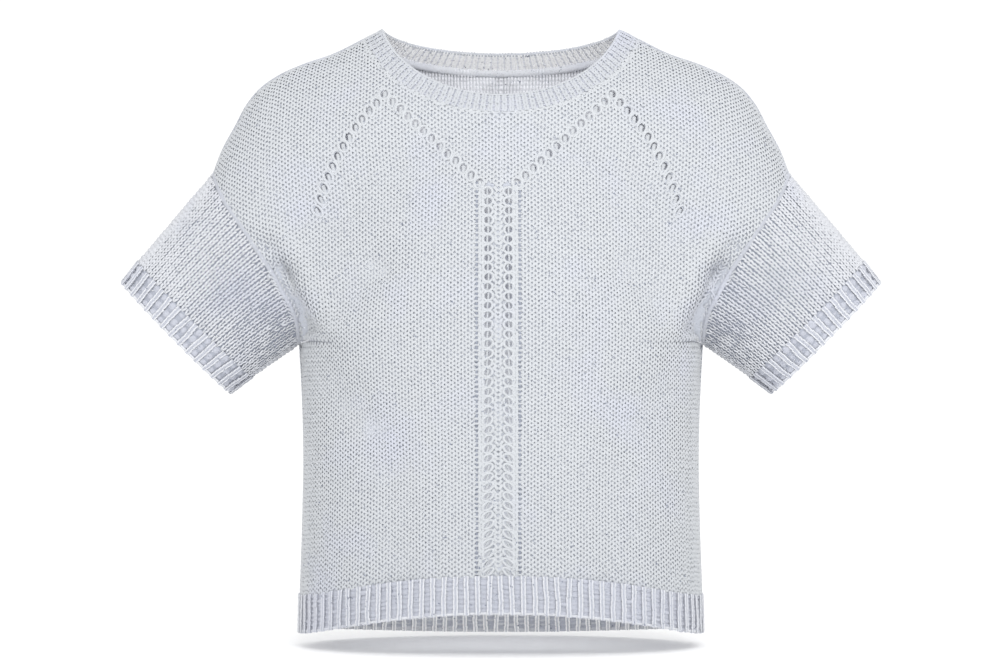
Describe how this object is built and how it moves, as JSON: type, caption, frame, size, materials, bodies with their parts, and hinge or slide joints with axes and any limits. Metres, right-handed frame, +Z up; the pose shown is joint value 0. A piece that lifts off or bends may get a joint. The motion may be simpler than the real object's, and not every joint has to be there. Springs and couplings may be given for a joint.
{
  "type": "jumper",
  "caption": "Short-sleeved cropped knit jumper with a round ribbed neck, lace eyelet lines down the front and ribbed hem and cuffs, hollow as worn.",
  "frame": {"origin": "midway between the two shoulder seams at the neck, 24 mm below the high neck points, where the wearer's shoulders hold the jumper up", "axes": "+Z up, the front faces -Y, +X to the wearer's left"},
  "size_m": [0.721, 0.2355, 0.5818],
  "materials": {
    "front_knit": "matt pale blue-grey cotton-blend knit",
    "back_knit": "matt pale blue-grey cotton-blend knit",
    "sleeve_left_knit": "matt pale blue-grey cotton-blend knit",
    "sleeve_right_knit": "matt pale blue-grey cotton-blend knit",
    "neck_band_knit": "matt pale blue-grey cotton-blend knit",
    "hem_front_rib_knit": "matt pale blue-grey cotton-blend knit",
    "hem_back_rib_knit": "matt pale blue-grey cotton-blend knit",
    "cuff_rib_left_knit": "matt pale blue-grey cotton-blend knit",
    "cuff_rib_right_knit": "matt pale blue-grey cotton-blend knit"
  },
  "bodies": {
    "root": {"front": "front_knit", "back": "back_knit", "sleeve_left": "sleeve_left_knit", "sleeve_right": "sleeve_right_knit", "neck_band": "neck_band_knit", "hem_rib_front": "hem_front_rib_knit", "hem_rib_back": "hem_back_rib_knit", "cuff_rib_left": "cuff_rib_left_knit", "cuff_rib_right": "cuff_rib_right_knit"}
  },
  "joints": []
}
